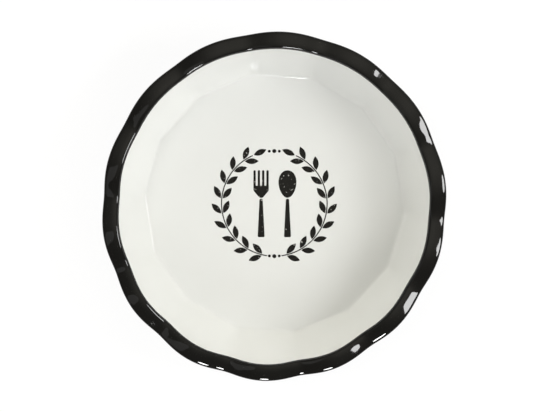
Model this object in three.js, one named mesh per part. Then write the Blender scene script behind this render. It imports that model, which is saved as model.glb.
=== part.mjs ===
// A round stoneware baking dish. Its wall is a ring of flat panels, and the lip rises over each in a low arch
// and comes down at the seams. It is one fired clay body under three fused coats of glaze, each its own mesh.
// Millimetres, +Z up. The origin is on the table, at the centre of the foot ring.
import * as THREE from "three";

// Driving dimensions. Where the panels shape the dish, a radius or diameter is taken at a panel's middle.
const panelCount = 14;
const firstSeamAngle = 22; // degrees from +X to the first seam between two panels
const overallHeight = 52; // over the glaze
const lipDiameter = 280; // over the glaze, from the middle of one panel to the opposite one
const lipWidth = 12; // from the bend above the wall to the lip's outer edge
const bandDrop = 1.6; // how far the dark glaze runs down the inside of the wall from the bend
const lipThickness = 7;
const lipCrown = 0.8; // height of the lip's crest above the bend
const edgeDrop = 2.2; // how far the lip falls from its crest to its outer edge
const crestLand = 2.5; // width of the level strip along the crest
const archRise = 7; // height of the lip at a panel's middle above the lip at its seams
const seamDraw = 1; // how far the lip's outer edge is drawn in at a seam
const wallLeanAngle = 26; // degrees from upright
const wallThickness = 6.5;
const floorThickness = 5.5;
const footInset = 15; // from the heel, where the wall would meet the underside, in to the foot ring
const footWidth = 5;
const footHeight = 2.5;
const glazeThickness = 0.5;

// Fillets of the clay.
const footEdgeFillet = 0.6;
const heelFillet = 9;
const lipUnderFillet = 4;
const lowerEdgeFillet = 3;
const upperEdgeFillet = 1.5;
const bendFillet = 2;
const floorFillet = 5;

// How finely the curves are cut.
const stepsPerPanel = 6;
const wallSteps = 2;

// Heights and radii of the clay that follow from the sizes above.
const floorHeight = footHeight + floorThickness;
const lipTop = overallHeight - glazeThickness;
const lipUnderside = lipTop - lipThickness;
const bendHeight = lipTop - lipCrown;
const bandHeight = bendHeight - bandDrop;
const lipRadius = lipDiameter / 2 - glazeThickness;
const crestRadius = lipRadius - lipWidth / 2;
const bendRadius = lipRadius - lipWidth;

// The wall's two faces are parallel and lean out from the floor to the bend.
const lean = Math.tan(THREE.MathUtils.degToRad(wallLeanAngle));
const levelThickness = wallThickness * Math.hypot(1, lean);
const innerRadiusAt = (z) => bendRadius - lean * (bendHeight - z);
const outerRadiusAt = (z) => innerRadiusAt(z) + levelThickness;
const floorRadius = innerRadiusAt(floorHeight);
const heelRadius = outerRadiusAt(footHeight);
const footOuter = heelRadius - footInset;
const footInner = footOuter - footWidth;
const archStart = floorHeight + floorFillet; // the wall below this height isn't arched
const wipeHeight = footHeight / 2; // the foot ring's lower half is wiped free of glaze

// The clay's cross-section at a panel's middle: from the axis under the floor, round the outside and over the lip,
// back to the axis on the floor. A fillet has its steps, and split divides the straight run before a corner.
const corners = [
  { r: 0, z: footHeight },
  { r: footInner, z: footHeight },
  { r: footInner, z: wipeHeight, mark: "recessEdge" },
  { r: footInner, z: 0, fillet: footEdgeFillet, steps: 1 },
  { r: footOuter, z: 0, fillet: footEdgeFillet, steps: 1 },
  { r: footOuter, z: wipeHeight, mark: "heelEdge" },
  { r: footOuter, z: footHeight },
  { r: heelRadius, z: footHeight, fillet: heelFillet, steps: 2 },
  { r: outerRadiusAt(lipUnderside), z: lipUnderside, fillet: lipUnderFillet, steps: 2, split: wallSteps },
  { r: lipRadius, z: lipUnderside, fillet: lowerEdgeFillet, steps: 2 },
  { r: lipRadius, z: lipTop - edgeDrop, fillet: upperEdgeFillet, steps: 2 },
  { r: crestRadius + crestLand / 2, z: lipTop },
  { r: crestRadius - crestLand / 2, z: lipTop },
  { r: bendRadius, z: bendHeight, fillet: bendFillet, steps: 2 },
  { r: innerRadiusAt(bandHeight), z: bandHeight, mark: "bandEdge" },
  { r: floorRadius, z: floorHeight, fillet: floorFillet, steps: 2, split: wallSteps },
  { r: 0, z: floorHeight },
];

// The points of one corner: an arc between its two straight runs, or the corner itself.
function cornerPoints(before, corner, after) {
  const at = new THREE.Vector2(corner.r, corner.z);
  if (!corner.fillet) return [at];
  const back = new THREE.Vector2(before.r, before.z).sub(at).normalize();
  const on = new THREE.Vector2(after.r, after.z).sub(at).normalize();
  const halfAngle = Math.acos(back.dot(on)) / 2;
  const toCentre = back.clone().add(on).setLength(corner.fillet / Math.sin(halfAngle));
  const centre = at.clone().add(toCentre);
  const start = back.setLength(corner.fillet / Math.tan(halfAngle)).sub(toCentre);
  const turn = (2 * halfAngle - Math.PI) * Math.sign(start.cross(toCentre));
  const pointAt = (share) => start.clone().rotateAround(new THREE.Vector2(), turn * share).add(centre);
  return Array.from({ length: corner.steps + 1 }, (_, step) => pointAt(step / corner.steps));
}

// The whole outline as points, and the index of each marked corner's middle point.
function clayOutline() {
  const points = [];
  const marks = {};
  corners.forEach((corner, i) => {
    const arc = cornerPoints(corners[i - 1], corner, corners[i + 1]);
    const runStart = points.at(-1);
    for (let part = 1; part < corner.split; part += 1) {
      points.push(runStart.clone().lerp(arc[0], part / corner.split));
    }
    if (corner.mark) marks[corner.mark] = points.length + Math.floor(arc.length / 2);
    points.push(...arc);
  });
  return { points, marks };
}

const { points: clay, marks } = clayOutline();

// The glaze's skin: each point of the outline moved out square to the clay by the glaze's thickness.
const outward = (from, to) => new THREE.Vector2(to.y - from.y, from.x - to.x).normalize();
const skin = clay.map((point, i) => {
  const last = Math.max(i - 1, 0);
  const next = Math.min(i, clay.length - 2);
  const before = outward(clay[last], clay[last + 1]);
  const after = outward(clay[next], clay[next + 1]);
  const reach = glazeThickness / (1 + before.dot(after));
  return before.add(after).multiplyScalar(reach).add(point);
});

// The cross-section of a glaze coat that covers the clay from one point of the outline to another.
function coatSection(from, to) {
  const section = [...skin.slice(from, to + 1), ...clay.slice(from, to + 1).reverse()];
  return [...section, section[0]];
}

// Share of the way from a panel's middle, 0, to its seams, 1.
function acrossPanel(angle) {
  const panels = ((angle - THREE.MathUtils.degToRad(firstSeamAngle)) * panelCount) / (2 * Math.PI);
  return Math.abs(2 * (panels - Math.floor(panels)) - 1);
}

// How much of the way a value has come from one limit to another, from 0 to 1.
const share = (value, from, to) => THREE.MathUtils.clamp((value - from) / (to - from), 0, 1);

// Presses the panels into a turned shape. Above the round foot each panel is flat, and its lip is an arch: towards
// the seams it slides down along the slope of the wall.
function pressPanels(geometry) {
  const position = geometry.getAttribute("position");
  for (let i = 0; i < position.count; i += 1) {
    const [x, y, z] = [position.getX(i), position.getY(i), position.getZ(i)];
    const radius = Math.hypot(x, y);
    const across = acrossPanel(Math.atan2(y, x));
    const drop = archRise * across ** 2 * share(z, archStart, lipUnderside);
    const draw = lean * drop + seamDraw * across ** 2 * share(radius, bendRadius, lipRadius);
    const flatness = share(z, footHeight, floorHeight);
    const stretch = 1 + flatness * (1 / Math.cos((across * Math.PI) / panelCount) - 1);
    const scale = stretch * (1 - draw / Math.max(radius, floorRadius));
    position.setXYZ(i, x * scale, y * scale, z - drop);
  }
}

// Turns a cross-section about +Z. A facet's diagonal goes by which of its two rims is higher, whichever way the
// section runs, so a coat's inner facets are the clay's own.
function turned(section) {
  const columns = panelCount * stepsPerPanel;
  const start = THREE.MathUtils.degToRad(firstSeamAngle) + Math.PI / 2;
  const geometry = new THREE.LatheGeometry(section, columns, start).rotateX(Math.PI / 2);
  const index = [];
  for (let column = 0; column < columns; column += 1) {
    for (let row = 0; row < section.length - 1; row += 1) {
      const [rim, nextRim] = [section[row], section[row + 1]];
      const here = column * section.length + row;
      const beside = here + section.length;
      const rises = nextRim.y - rim.y || nextRim.x - rim.x;
      const [third, opposite] = rises > 0 ? [here + 1, beside] : [beside + 1, here];
      if (rim.x > 0) index.push(here, beside, third);
      if (nextRim.x > 0) index.push(beside + 1, here + 1, opposite);
    }
  }
  geometry.setIndex(index);
  pressPanels(geometry);
  geometry.computeVertexNormals();
  return geometry;
}

const stoneware = new THREE.MeshStandardMaterial({ color: 0xcdbca4, roughness: 0.85, metalness: 0 });
const whiteGlaze = new THREE.MeshStandardMaterial({ color: 0xecece6, roughness: 0.15, metalness: 0 });
const blackGlaze = new THREE.MeshStandardMaterial({ color: 0x181716, roughness: 0.1, metalness: 0 });

const dish = new THREE.Group();
dish.name = "baking_dish";

function addPiece(name, section, material) {
  const piece = new THREE.Mesh(turned(section), material);
  piece.name = name;
  dish.add(piece);
}

addPiece("stoneware_body", clay, stoneware);
addPiece("white_liner_glaze", coatSection(marks.bandEdge, clay.length - 1), whiteGlaze);
addPiece("black_rim_glaze", coatSection(marks.heelEdge, marks.bandEdge), blackGlaze);
addPiece("base_recess_glaze", coatSection(0, marks.recessEdge), blackGlaze);

export default dish;
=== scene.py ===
"""Looks of a round glazed stoneware baking dish, in metres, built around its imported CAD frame."""
import math
from typing import NamedTuple

import bmesh
import bpy
from mathutils import Matrix, Vector


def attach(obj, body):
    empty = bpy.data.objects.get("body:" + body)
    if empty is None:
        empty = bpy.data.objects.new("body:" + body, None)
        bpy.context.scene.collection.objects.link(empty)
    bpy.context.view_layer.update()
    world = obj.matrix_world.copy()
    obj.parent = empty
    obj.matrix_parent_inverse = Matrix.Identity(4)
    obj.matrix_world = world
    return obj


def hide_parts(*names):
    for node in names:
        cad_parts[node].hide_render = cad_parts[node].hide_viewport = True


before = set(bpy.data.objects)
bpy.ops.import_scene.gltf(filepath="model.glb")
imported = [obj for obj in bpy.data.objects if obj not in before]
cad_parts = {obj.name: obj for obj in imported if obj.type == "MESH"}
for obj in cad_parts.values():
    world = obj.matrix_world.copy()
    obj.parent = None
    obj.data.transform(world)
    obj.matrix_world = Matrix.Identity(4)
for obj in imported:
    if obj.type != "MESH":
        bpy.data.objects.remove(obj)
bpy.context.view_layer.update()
scene = bpy.context.scene
scene.view_settings.view_transform = "Standard"

# Camera: almost straight above the lip, a little towards +Y and +X. The picture's right is +X.
CAMERA_DISTANCE = 1.1
CAMERA_LEAN = math.radians(5.2)
CAMERA_SIDE_LEAN = math.radians(0.95)
CAMERA_AIM = Vector((0.0013, 0.002, 0.051))
PICTURE_WIDTH = 0.4413  # what the picture takes in across its width, at the lip
SENSOR_WIDTH = 36

camera = bpy.data.objects.new("camera", bpy.data.cameras.new("camera"))
camera.data.sensor_width = SENSOR_WIDTH
camera.data.lens = SENSOR_WIDTH * CAMERA_DISTANCE / PICTURE_WIDTH
camera.rotation_euler = (-CAMERA_LEAN, CAMERA_SIDE_LEAN, 0)
camera.location = CAMERA_AIM + camera.rotation_euler.to_matrix() @ Vector((0, 0, CAMERA_DISTANCE))
scene.collection.objects.link(camera)
scene.camera = camera

# Sizes of the dish in millimetres. Radii are taken at a panel's middle.
MM = 0.001
PANELS = 14
FIRST_SEAM = math.radians(22)
LIP_TOP = 51.5
LIP_RADIUS = 139.5
LIP_WIDTH = 12  # from the bend above the wall to the outer edge
LIP_THICKNESS = 7
LIP_CROWN = 0.25  # from the bend up to the lip's top
EDGE_FALL = 1.5  # from the lip's top down to its outer edge
SHOULDER_FALL = 0.86  # from the lip's top down to the shoulder above that edge
SHOULDER_INSET = 1.75  # from the outer edge in to the shoulder
CREST_INSET = 8.6  # from the outer edge in to the crest
CREST_RISE = 0.1  # of the crest's corner above the lip's top, before it is rounded
BAND_DROP = 1.6  # how far the black glaze runs down the inside of the wall from the bend
WALL_LEAN = math.tan(math.radians(26))
WALL_THICKNESS = 6.5
FOOT_INSET = 15  # from the heel, where the wall would meet the underside, in to the foot ring
FOOT_WIDTH = 5
FOOT_HEIGHT = 2.5
FLOOR_HEIGHT = 8
GLAZE = 0.5  # thickness of each coat

# Rounding of the clay's corners.
FOOT_ROOT_EASE = 0.9
FOOT_EDGE_EASE = 0.6
HEEL_EASE = 9
LIP_UNDER_EASE = 4
LOWER_EDGE_EASE = 3
UPPER_EDGE_EASE = 0.6
SHOULDER_EASE = 7
CREST_EASE = 18
BEND_EASE = 2
FLOOR_EASE = 3.2

# Panels and arches.
ARCH_RISE = 6.6  # of the lip over a panel, if its seams were sharp
UNARCHED = 5  # height of the foot of the wall, which isn't arched
SEAM_DRAW = 1.4  # how far the lip's outer edge would be drawn in at a sharp seam
FLOOR_SEAM_SOFTNESS = 0.06  # how far the seams are rounded, in half widths of a panel
LIP_SEAM_SOFTNESS = 0.28
LIP_ROUNDNESS = 0.3  # how far the panels go from flat at the floor towards round at the lip

# The kiln's warp of the lip, as shares of its radius and of the arches' rise.
OVAL = 0.0102
OVAL_ANGLE = math.radians(70)
THREE_SIDED = 0.0023
THREE_SIDED_ANGLE = math.radians(116.5)
UNEVEN_ARCH = 0.16  # how much deeper the arches are on one side
UNEVEN_ANGLE = math.radians(265)

# How finely the curves are cut. Lengths are in millimetres.
ARC_STEP = math.radians(12)
LONGEST_RUN = 5
STEPS_PER_PANEL = 24
MERGE_DISTANCE = 0.001
SHARP_ANGLE = math.radians(40)  # edges that turn more than this look sharp

BEND_HEIGHT = LIP_TOP - LIP_CROWN
BEND_RADIUS = LIP_RADIUS - LIP_WIDTH
LIP_UNDERSIDE = LIP_TOP - LIP_THICKNESS
BAND_HEIGHT = BEND_HEIGHT - BAND_DROP
WIPE_HEIGHT = FOOT_HEIGHT / 2  # the foot ring's lower half is wiped free of glaze
FLOOR_TOP = FLOOR_HEIGHT + GLAZE
ARCH_START = FLOOR_HEIGHT + UNARCHED


def inner_radius(height):
    """Radius of the wall's inner face."""
    return BEND_RADIUS - WALL_LEAN * (BEND_HEIGHT - height)


def outer_radius(height):
    """Radius of the wall's outer face."""
    return inner_radius(height) + WALL_THICKNESS * math.hypot(1, WALL_LEAN)


FLOOR_RADIUS = inner_radius(FLOOR_HEIGHT)
HEEL_RADIUS = outer_radius(FOOT_HEIGHT)
FOOT_OUTER = HEEL_RADIUS - FOOT_INSET
FOOT_INNER = FOOT_OUTER - FOOT_WIDTH


class Corner(NamedTuple):
    """A corner of the cross-section, and the radius that rounds it."""
    radius: float
    height: float
    ease: float = 0


# The clay's cross-section, in the stretches that are glazed or left bare.
wiped_inside = Corner(FOOT_INNER, WIPE_HEIGHT)
wiped_outside = Corner(FOOT_OUTER, WIPE_HEIGHT)
band_edge = Corner(inner_radius(BAND_HEIGHT), BAND_HEIGHT)
recess_line = [
    Corner(0, FOOT_HEIGHT),
    Corner(FOOT_INNER, FOOT_HEIGHT, FOOT_ROOT_EASE),
    wiped_inside,
]
bare_foot_line = [
    wiped_inside,
    Corner(FOOT_INNER, 0, FOOT_EDGE_EASE),
    Corner(FOOT_OUTER, 0, FOOT_EDGE_EASE),
    wiped_outside,
]
outside_line = [
    wiped_outside,
    Corner(FOOT_OUTER, FOOT_HEIGHT, FOOT_ROOT_EASE),
    Corner(HEEL_RADIUS, FOOT_HEIGHT, HEEL_EASE),
    Corner(outer_radius(LIP_UNDERSIDE), LIP_UNDERSIDE, LIP_UNDER_EASE),
    Corner(LIP_RADIUS, LIP_UNDERSIDE, LOWER_EDGE_EASE),
    Corner(LIP_RADIUS, LIP_TOP - EDGE_FALL, UPPER_EDGE_EASE),
    Corner(LIP_RADIUS - SHOULDER_INSET, LIP_TOP - SHOULDER_FALL, SHOULDER_EASE),
    Corner(LIP_RADIUS - CREST_INSET, LIP_TOP + CREST_RISE, CREST_EASE),
    Corner(BEND_RADIUS, BEND_HEIGHT, BEND_EASE),
    band_edge,
]
inside_line = [
    band_edge,
    Corner(FLOOR_RADIUS, FLOOR_HEIGHT, FLOOR_EASE),
    Corner(0, FLOOR_HEIGHT),
]
clay_line = recess_line + bare_foot_line[1:] + outside_line[1:] + inside_line[1:]


def glazed(line):
    """A stretch of the clay's outline moved out square to the clay by the glaze's thickness."""
    points = [Vector((corner.radius, corner.height)) for corner in line]
    outward = []
    for here, there in zip(points, points[1:]):
        along = (there - here).normalized()
        outward.append(Vector((along.y, -along.x)))
    moved = []
    for corner, point, before, after in zip(line, points, outward[:1] + outward, outward + outward[-1:]):
        place = point + (before + after) * (GLAZE / (1 + before.dot(after)))
        bulge = math.copysign(GLAZE, before.x * after.y - before.y * after.x)
        moved.append(Corner(*place, max(corner.ease + bulge, 0) if corner.ease else 0))
    return moved


def coated(line):
    """The glaze coat on a stretch of the clay: its skin, and back along the clay under it."""
    return glazed(line) + line[::-1]


def drawn(line):
    """A cross-section as a wire in the XZ plane with rounded corners, closed unless it ends on the axis."""
    bm = bmesh.new()
    verts = [bm.verts.new((corner.radius, 0, corner.height)) for corner in line]
    first = 1 if line[0].radius == 0 or line[-1].radius == 0 else 0
    for i in range(first, len(verts)):
        bm.edges.new((verts[i - 1], verts[i]))
    places = [vert.co.copy() for vert in verts]
    for i, corner in enumerate(line):
        if not corner.ease:
            continue
        turn = (places[i] - places[i - 1]).angle(places[(i + 1) % len(line)] - places[i])
        bmesh.ops.bevel(
            bm, geom=[verts[i]], offset=corner.ease * math.tan(turn / 2), offset_type="OFFSET",
            segments=math.ceil(turn / ARC_STEP) + 1, profile=0.5, affect="VERTICES", material=-1,
            clamp_overlap=False)
    for edge in bm.edges[:]:
        cuts = int(edge.calc_length() / LONGEST_RUN)
        if cuts:
            bmesh.ops.subdivide_edges(bm, edges=[edge], cuts=cuts)
    return bm


def turned(line):
    """A cross-section turned about the dish's axis, with its columns on the seams."""
    bm = drawn(line)
    bmesh.ops.spin(
        bm, geom=bm.verts[:] + bm.edges[:], cent=(0, 0, 0), axis=(0, 0, 1), angle=math.tau,
        steps=PANELS * STEPS_PER_PANEL, use_merge=True)
    bmesh.ops.remove_doubles(bm, verts=bm.verts, dist=MERGE_DISTANCE)
    bmesh.ops.rotate(bm, verts=bm.verts, cent=(0, 0, 0), matrix=Matrix.Rotation(FIRST_SEAM, 3, "Z"))
    return bm


def share(value, start, end):
    """How much of the way a value has come from one limit to another, eased at both."""
    part = min(max((value - start) / (end - start), 0), 1)
    return part * part * (3 - 2 * part)


def seam_nearness(angle, up_wall):
    """0 in a panel's middle, rising towards 1 at its seams, which are rounded off, and most so at the lip."""
    panels = (angle - FIRST_SEAM) * PANELS / math.tau
    from_seam = 1 - abs(2 * (panels % 1) - 1)
    softness = FLOOR_SEAM_SOFTNESS + up_wall * (LIP_SEAM_SOFTNESS - FLOOR_SEAM_SOFTNESS)
    return math.hypot(1, softness) - math.hypot(from_seam, softness)


def out_of_round(angle):
    """How far the kiln drew the lip out, as a share of its radius."""
    oval = OVAL * math.cos(2 * (angle - OVAL_ANGLE))
    return oval + THREE_SIDED * math.cos(3 * (angle - THREE_SIDED_ANGLE))


def press_panels(bm):
    """Presses the flat panels and the arched lip into a turned shape, and adds the kiln's warp."""
    for vert in bm.verts:
        x, y, z = vert.co
        radius, angle = math.hypot(x, y), math.atan2(y, x)
        up_wall = share(z, FLOOR_HEIGHT, LIP_UNDERSIDE)
        near = seam_nearness(angle, up_wall)
        arch = ARCH_RISE * (1 + UNEVEN_ARCH * math.cos(angle - UNEVEN_ANGLE))
        drop = arch * near ** 2 * share(z, ARCH_START, LIP_UNDERSIDE)
        draw = WALL_LEAN * drop + SEAM_DRAW * near ** 2 * share(radius, BEND_RADIUS, LIP_RADIUS)
        flatness = share(z, FOOT_HEIGHT, FLOOR_HEIGHT) - LIP_ROUNDNESS * up_wall
        stretch = 1 + flatness * (1 / math.cos(near * math.pi / PANELS) - 1)
        warp = 1 + out_of_round(angle) * share(z, 0, LIP_TOP)
        scale = stretch * (1 - draw / max(radius, FLOOR_RADIUS)) * warp
        vert.co = (x * scale, y * scale, z - drop)


def finished(name, bm, material, replaced=None):
    """Makes a piece of the dish from its mesh in millimetres."""
    bmesh.ops.recalc_face_normals(bm, faces=bm.faces)
    bmesh.ops.scale(bm, vec=(MM, MM, MM), verts=bm.verts)
    mesh = bpy.data.meshes.new(name)
    bm.to_mesh(mesh)
    bm.free()
    mesh.shade_smooth()
    mesh.set_sharp_from_angle(angle=SHARP_ANGLE)
    mesh.materials.append(material)
    piece = bpy.data.objects.new(name, mesh)
    scene.collection.objects.link(piece)
    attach(piece, "root")
    if replaced:
        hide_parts(replaced)


# Sockets of a Mix node that mixes two colours.
MIX_SHARE = 0
MIX_FIRST = 6
MIX_SECOND = 7
MIX_RESULT = 2


def linear(colour):
    """An sRGB hex colour as linear RGBA."""
    shares = [int(colour[i:i + 2], 16) / 255 for i in (1, 3, 5)]
    return [s / 12.92 if s <= 0.04045 else ((s + 0.055) / 1.055) ** 2.4 for s in shares] + [1]


def node(tree, kind, inputs, **settings):
    """Adds a node. An input is a value, or another node's output that it is linked to."""
    made = tree.nodes.new("ShaderNode" + kind)
    for name, value in settings.items():
        setattr(made, name, value)
    for name, value in inputs.items():
        if isinstance(value, bpy.types.NodeSocket):
            tree.links.new(value, made.inputs[name])
        else:
            made.inputs[name].default_value = value
    return made


def empty_material(name):
    """A material with no nodes."""
    made = bpy.data.materials.new(name)
    made.use_nodes = True
    made.node_tree.nodes.clear()
    return made, made.node_tree


def per_metre(millimetres):
    """A texture's scale for a pattern of that size."""
    return 1 / (millimetres * MM)


def fired_glaze(name, colours, cloud_size, run_size, run_depth, peel_size, peel_depth, roughness, ior):
    """A glaze that ran and set in the kiln. It clouds between two colours and two degrees of roughness, with
    slow runs and an orange peel that is drawn coarse enough to show. Sizes and depths are in millimetres."""
    made, tree = empty_material(name)
    place = node(tree, "TexCoord", {}).outputs["Object"]
    cloud = node(tree, "TexNoise", {
        "Vector": place, "Scale": per_metre(cloud_size), "Detail": 2}).outputs["Fac"]
    tone = node(tree, "Mix", {
        MIX_SHARE: cloud, MIX_FIRST: linear(colours[0]), MIX_SECOND: linear(colours[1])}, data_type="RGBA")
    run = node(tree, "TexNoise", {"Vector": place, "Scale": per_metre(run_size), "Detail": 1}).outputs["Fac"]
    peel = node(tree, "TexNoise", {"Vector": place, "Scale": per_metre(peel_size)}).outputs["Fac"]
    flow = node(tree, "Bump", {"Height": run, "Distance": run_depth * MM, "Strength": 1})
    skin = node(tree, "Bump", {
        "Height": peel, "Distance": peel_depth * MM, "Strength": 1, "Normal": flow.outputs[0]})
    gloss = node(tree, "MapRange", {"Value": cloud, "To Min": roughness[0], "To Max": roughness[1]})
    shader = node(tree, "BsdfPrincipled", {
        "Base Color": tone.outputs[MIX_RESULT], "Roughness": gloss.outputs[0], "IOR": ior,
        "Normal": skin.outputs[0]})
    node(tree, "OutputMaterial", {"Surface": shader.outputs[0]})
    return made


def white_glaze():
    """Opaque white stoneware glaze, poured and fired to a full gloss: a clean white that mirrors lights
    crisply and is a little uneven where it ran and set."""
    return fired_glaze(
        "opaque_white_glaze", colours=("#EDEEEB", "#E8E9E6"), cloud_size=45, run_size=24, run_depth=0.12,
        peel_size=3, peel_depth=0.006, roughness=(0.035, 0.06), ior=1.52)


def black_glaze():
    """Black iron glaze, dipped and fired to a mirror gloss: it has almost no colour of its own, so what shows
    is what it mirrors."""
    return fired_glaze(
        "black_iron_glaze", colours=("#0F0F0E", "#151413"), cloud_size=30, run_size=16, run_depth=0.3,
        peel_size=2.5, peel_depth=0.005, roughness=(0.03, 0.05), ior=1.65)


def bare_stoneware():
    """Buff stoneware clay, pressed and wiped free of glaze: matt, with darker iron specks and a grit that is
    drawn coarse enough to show."""
    made, tree = empty_material("buff_stoneware_clay")
    place = node(tree, "TexCoord", {}).outputs["Object"]
    cloud = node(tree, "TexNoise", {"Vector": place, "Scale": per_metre(9), "Detail": 4}).outputs["Fac"]
    grit = node(tree, "TexNoise", {"Vector": place, "Scale": per_metre(0.8), "Detail": 3}).outputs["Fac"]
    speck = node(tree, "MapRange", {"Value": grit, "From Min": 0.62, "From Max": 0.7}).outputs[0]
    buff = node(tree, "Mix", {
        MIX_SHARE: cloud, MIX_FIRST: linear("#D6C6AE"), MIX_SECOND: linear("#C4B095")}, data_type="RGBA")
    colour = node(tree, "Mix", {
        MIX_SHARE: speck, MIX_FIRST: buff.outputs[MIX_RESULT], MIX_SECOND: linear("#8D6F50")},
        data_type="RGBA")
    grain = node(tree, "Bump", {"Height": grit, "Distance": 0.08 * MM, "Strength": 1})
    shader = node(tree, "BsdfPrincipled", {
        "Base Color": colour.outputs[MIX_RESULT], "Roughness": 0.85, "IOR": 1.5, "Normal": grain.outputs[0]})
    node(tree, "OutputMaterial", {"Surface": shader.outputs[0]})
    return made


def black_print():
    """Black ceramic transfer fired into the glaze: ink black, a little less glossy than the glaze, and worn
    through in small flecks."""
    made, tree = empty_material("black_ceramic_transfer")
    place = node(tree, "TexCoord", {}).outputs["Object"]
    worn = node(tree, "TexNoise", {"Vector": place, "Scale": per_metre(2.2), "Detail": 3}).outputs["Fac"]
    fleck = node(tree, "MapRange", {"Value": worn, "From Min": 0.66, "From Max": 0.72}).outputs[0]
    colour = node(tree, "Mix", {
        MIX_SHARE: fleck, MIX_FIRST: linear("#1A1917"), MIX_SECOND: linear("#B9B9B3")}, data_type="RGBA")
    shader = node(tree, "BsdfPrincipled", {
        "Base Color": colour.outputs[MIX_RESULT], "Roughness": 0.12, "IOR": 1.5})
    node(tree, "OutputMaterial", {"Surface": shader.outputs[0]})
    return made


def dish_piece(name, line, material, node_name):
    """One pressed piece of the dish in place of its CAD node."""
    bm = turned(line)
    press_panels(bm)
    finished(name, bm, material, node_name)


black = black_glaze()
white = white_glaze()
clay = bare_stoneware()
dish_piece("clay_body", clay_line, clay, "stoneware_body")
dish_piece("white_glaze_coat", coated(inside_line), white, "white_liner_glaze")
dish_piece("black_glaze_coat", coated(outside_line), black, "black_rim_glaze")
dish_piece("recess_glaze_coat", coated(recess_line), black, "base_recess_glaze")

# Ornament printed on the floor: two leafy sprigs round a fork and a spoon, in millimetres from its middle.
PRINT_LIFT = 0.08  # above the glaze
PRINT_SINK = 0.04  # into it
SPRIG_RADIUS = 44
SPRIG_START = math.radians(-82)
SPRIG_END = math.radians(66)
STEM_WIDTH = 0.9
STEM_STEPS = 60
LEAF_PAIRS = 9
FIRST_PAIR = 0.35  # from the stem's start, as a share of the step between pairs
LEAF_LENGTH = 11.5
LEAF_WIDTH = 4.8
LEAF_SPREAD = math.radians(34)
LEAF_GAP = 0.9  # from the stem's middle
BERRY_RADIUS = 1.7
SIDE_BERRY_RADIUS = 1.19
BERRY_STEP = math.radians(5.4)
CUTLERY_APART = 11  # from the middle to the fork, and to the spoon
CUTLERY_TOP = 28
HEAD_FOOT = 5  # where the fork's head and the spoon's bowl begin
HANDLE_TOP = 4.2
HANDLE_END = -28
HANDLE_WIDTH = 5.8  # at its end
NECK_WIDTH = 2.6
HANDLE_EASE = 1.1
TINES = 4
TINE_WIDTH = 1.9
TINE_GAP = 1.7
TINE_FOOT = 15
FORK_SHOULDER = 11  # where the head comes to its full width
FORK_EASE = 0.8
BOWL_WIDTH = 14.8
BOWL_TAPER = 0.14  # how much wider the bowl is towards its tip
DISC_STEPS = 28
EASE_STEPS = 5


def turned_by(angle):
    """A turn about the dish's axis."""
    return Matrix.Rotation(angle, 4, "Z")


def moved_by(x, y=0):
    """A move along the floor."""
    return Matrix.Translation((x, y, 0))


def disc(bm, place, half_length, half_width, point=0, taper=0):
    """An oval along the place's X, which can be drawn out to two points or be wider at its far end."""
    made = bmesh.ops.create_circle(bm, cap_ends=True, segments=DISC_STEPS, radius=1)
    for vert in made["verts"]:
        vert.co.y *= abs(vert.co.y) ** point * (1 + taper * vert.co.x)
    stretch = Matrix.Diagonal((half_length, half_width, 1, 1))
    bmesh.ops.transform(bm, matrix=place @ stretch, verts=made["verts"])


def plate(bm, place, outline, ease):
    """A flat shape with rounded corners."""
    verts = [bm.verts.new(place @ Vector((x, y, 0))) for x, y in outline]
    bm.faces.new(verts)
    bmesh.ops.bevel(
        bm, geom=verts, offset=ease, offset_type="OFFSET", segments=EASE_STEPS, profile=0.5,
        affect="VERTICES", material=-1)


def leaf(bm, foot):
    """A leaf with two pointed ends, along X from its foot."""
    disc(bm, foot @ moved_by(LEAF_LENGTH / 2), LEAF_LENGTH / 2, LEAF_WIDTH / 2, point=1)


def sprig(bm):
    """The sprig on the right: a curved stem, pairs of leaves and one leaf at the tip."""
    sweep = SPRIG_END - SPRIG_START
    start = turned_by(SPRIG_START)
    ends = [bm.verts.new(start @ Vector((SPRIG_RADIUS + side * STEM_WIDTH / 2, 0, 0))) for side in (-1, 1)]
    stem = bm.edges.new(ends)
    bmesh.ops.spin(bm, geom=[*ends, stem], cent=(0, 0, 0), axis=(0, 0, 1), angle=sweep, steps=STEM_STEPS)
    for pair in range(LEAF_PAIRS):
        on_stem = turned_by(SPRIG_START + sweep * (pair + FIRST_PAIR) / LEAF_PAIRS)
        for side in (-1, 1):
            foot = moved_by(SPRIG_RADIUS + side * LEAF_GAP) @ turned_by(math.pi / 2 - side * LEAF_SPREAD)
            leaf(bm, on_stem @ foot)
    leaf(bm, turned_by(SPRIG_END) @ moved_by(SPRIG_RADIUS, LEAF_GAP) @ turned_by(math.pi / 2))


def handle(bm, place):
    """A handle that narrows from its end to the neck."""
    end, neck = HANDLE_WIDTH / 2, NECK_WIDTH / 2
    outline = [(-end, HANDLE_END), (end, HANDLE_END), (neck, HANDLE_TOP), (-neck, HANDLE_TOP)]
    plate(bm, place, outline, HANDLE_EASE)


def fork(bm, place):
    """A fork, with a narrow gap between its handle and its head."""
    handle(bm, place)
    neck = NECK_WIDTH / 2
    half_width = (TINES * TINE_WIDTH + (TINES - 1) * TINE_GAP) / 2
    outline = [(-neck, HEAD_FOOT), (neck, HEAD_FOOT), (half_width, FORK_SHOULDER)]
    for tine in range(TINES):
        right = half_width - tine * (TINE_WIDTH + TINE_GAP)
        left = right - TINE_WIDTH
        outline += [(right, CUTLERY_TOP), (left, CUTLERY_TOP)]
        if tine < TINES - 1:
            outline += [(left, TINE_FOOT), (left - TINE_GAP, TINE_FOOT)]
    plate(bm, place, [*outline, (-half_width, FORK_SHOULDER)], FORK_EASE)


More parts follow.
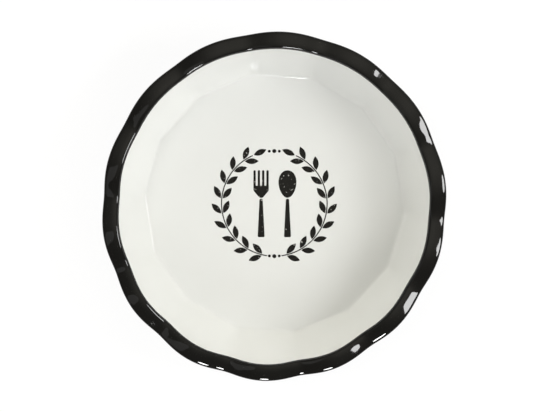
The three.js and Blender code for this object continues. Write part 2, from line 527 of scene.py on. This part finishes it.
def spoon(bm, place):
    """A spoon, with a narrow gap between its handle and its bowl."""
    handle(bm, place)
    half_length = (CUTLERY_TOP - HEAD_FOOT) / 2
    bowl = place @ moved_by(0, HEAD_FOOT + half_length) @ turned_by(math.pi / 2)
    disc(bm, bowl, half_length, BOWL_WIDTH / 2, taper=BOWL_TAPER)


def berries(bm):
    """Three berries in each gap between the sprigs, the middle one larger."""
    for top_or_bottom in (math.pi / 2, -math.pi / 2):
        for step in (-1, 0, 1):
            place = turned_by(top_or_bottom + step * BERRY_STEP) @ moved_by(SPRIG_RADIUS)
            radius = SIDE_BERRY_RADIUS if step else BERRY_RADIUS
            disc(bm, place, radius, radius)


def floor_ornament():
    """The whole ornament as one thin printed layer on the floor."""
    bm = bmesh.new()
    sprig(bm)
    bmesh.ops.mirror(bm, geom=bm.verts[:] + bm.edges[:] + bm.faces[:], matrix=Matrix.Identity(4), axis="X")
    berries(bm)
    fork(bm, moved_by(-CUTLERY_APART))
    spoon(bm, moved_by(CUTLERY_APART))
    top = bmesh.ops.extrude_face_region(bm, geom=bm.faces[:], use_keep_orig=True)["geom"]
    lifted = [part for part in top if isinstance(part, bmesh.types.BMVert)]
    bmesh.ops.translate(bm, vec=(0, 0, PRINT_LIFT + PRINT_SINK), verts=lifted)
    bmesh.ops.translate(bm, vec=(0, 0, FLOOR_TOP - PRINT_SINK), verts=bm.verts)
    finished("floor_ornament", bm, black_print())


floor_ornament()

# Studio, in metres: a white table and backdrop that run out of the picture, lamps and a dim room.
TABLE_WIDTH = 8
BACKDROP_RADIUS = 3.9
BACKDROP_HEIGHT = 1.3
BACKDROP_STEPS = 96
OWN_WHITE = 0.84  # the share of the white that shadows don't darken
OWN_LEVEL = 1.06  # how bright that share is
ROOM_LIGHT = 0.08
GLOW = 0.3  # what the glow adds to the room's light in its middle
GLOW_AZIMUTH = 55
GLOW_ELEVATION = 72
GLOW_TIGHTNESS = 8  # a power, which makes the glow smaller
PLAIN_WHITE = "#FFFFFF"
WARM_WHITE = "#FFFBED"
SOFTBOX_DISTANCE = 3
FILL_DISTANCE = 2
FILL_SIZE = 0.9


def white_paint():
    """Matt white paint. Most of its white is its own, also in the gloss, and shadows darken the rest."""
    made, tree = empty_material("white_paint")
    path = node(tree, "LightPath", {}).outputs
    seen = node(tree, "Math", {0: path["Is Camera Ray"], 1: path["Is Glossy Ray"]}, operation="MAXIMUM")
    seen = node(tree, "Math", {0: seen.outputs[0], 1: path["Is Transmission Ray"]}, operation="MAXIMUM")
    part = node(tree, "Math", {0: seen.outputs[0], 1: OWN_WHITE}, operation="MULTIPLY")
    paint = node(tree, "BsdfDiffuse", {"Color": linear("#F4F4F4")})
    glow = node(tree, "Emission", {"Color": linear(PLAIN_WHITE), "Strength": OWN_LEVEL})
    both = node(tree, "MixShader", {0: part.outputs[0], 1: paint.outputs[0], 2: glow.outputs[0]})
    node(tree, "OutputMaterial", {"Surface": both.outputs[0]})
    return made


def white_studio():
    """The table, and a low backdrop that stands on it all round."""
    bm = bmesh.new()
    bmesh.ops.create_grid(bm, x_segments=1, y_segments=1, size=TABLE_WIDTH / 2)
    foot = bmesh.ops.create_circle(bm, segments=BACKDROP_STEPS, radius=BACKDROP_RADIUS)["verts"]
    foot_edges = [edge for edge in bm.edges if edge.verts[0] in foot]
    wall = bmesh.ops.extrude_edge_only(bm, edges=foot_edges)["geom"]
    top = [part for part in wall if isinstance(part, bmesh.types.BMVert)]
    bmesh.ops.translate(bm, vec=(0, 0, BACKDROP_HEIGHT), verts=top)
    mesh = bpy.data.meshes.new("studio")
    bm.to_mesh(mesh)
    bm.free()
    mesh.materials.append(white_paint())
    studio = bpy.data.objects.new("studio", mesh)
    scene.collection.objects.link(studio)


def direction(azimuth, elevation):
    """A unit vector from two angles in degrees. Azimuth runs from +X towards +Y."""
    side, up = math.radians(azimuth), math.radians(elevation)
    return Vector((math.cos(side) * math.cos(up), math.sin(side) * math.cos(up), math.sin(up)))


def room():
    """The room's own light: dim all round, with a soft glow high up towards the back."""
    scene.world = bpy.data.worlds.new("room")
    scene.world.use_nodes = True
    tree = scene.world.node_tree
    tree.nodes.clear()
    towards = node(tree, "TexCoord", {}).outputs["Generated"]
    middle = direction(GLOW_AZIMUTH, GLOW_ELEVATION)
    facing = node(tree, "VectorMath", {0: towards, 1: middle}, operation="DOT_PRODUCT")
    part = node(tree, "MapRange", {"Value": facing.outputs["Value"]}).outputs[0]
    spread = node(tree, "Math", {0: part, 1: GLOW_TIGHTNESS}, operation="POWER").outputs[0]
    level = node(tree, "MapRange", {"Value": spread, "To Min": ROOM_LIGHT, "To Max": ROOM_LIGHT + GLOW})
    light = node(tree, "Background", {"Color": linear(WARM_WHITE), "Strength": level.outputs[0]})
    node(tree, "OutputWorld", {"Surface": light.outputs[0]})


def oval_lamp(name, towards, distance, width, height, watts, colour, mirrored):
    """A lamp that faces the dish. It either shows in the gloss or lights the dish."""
    lamp = bpy.data.objects.new(name, bpy.data.lights.new(name, "AREA"))
    lamp.data.shape = "ELLIPSE"
    lamp.data.size = width
    lamp.data.size_y = height
    lamp.data.energy = watts
    lamp.data.color = linear(colour)[:3]
    lamp.location = CAMERA_AIM + distance * towards
    lamp.rotation_mode = "QUATERNION"
    lamp.rotation_quaternion = towards.to_track_quat("Z", "Y")
    lamp.visible_glossy = mirrored
    lamp.visible_diffuse = not mirrored
    scene.collection.objects.link(lamp)


def softbox(name, azimuth, elevation, width, height, watts):
    """A lamp that shows in the gloss as a highlight."""
    towards = direction(azimuth, elevation)
    oval_lamp(name, towards, SOFTBOX_DISTANCE, width, height, watts, PLAIN_WHITE, mirrored=True)


def fill(name, azimuth, elevation, watts, colour=PLAIN_WHITE, width=FILL_SIZE):
    """A lamp that lights the dish and isn't mirrored in it."""
    towards = direction(azimuth, elevation)
    oval_lamp(name, towards, FILL_DISTANCE, width, FILL_SIZE, watts, colour, mirrored=False)


white_studio()
room()
softbox("key_softbox", azimuth=-6, elevation=53, width=1.17, height=0.95, watts=27.5)
softbox("front_softbox", azimuth=271, elevation=43, width=0.6, height=0.47, watts=22)
softbox("left_panel", azimuth=207, elevation=58, width=0.8, height=1.95, watts=0.9)
fill("right_fill", azimuth=0, elevation=31, watts=21)
fill("right_front_fill", azimuth=-30, elevation=47, watts=4)
fill("front_right_fill", azimuth=-60, elevation=33, watts=3)
fill("front_fill", azimuth=-90, elevation=25, watts=11.5)
fill("right_back_fill", azimuth=60, elevation=20, watts=3, colour=WARM_WHITE)
fill("back_fill", azimuth=90, elevation=33, watts=5, colour=WARM_WHITE)
fill("left_back_fill", azimuth=140, elevation=20, watts=8, colour=WARM_WHITE, width=1.6)
fill("top_fill", azimuth=150, elevation=63, watts=11.5)
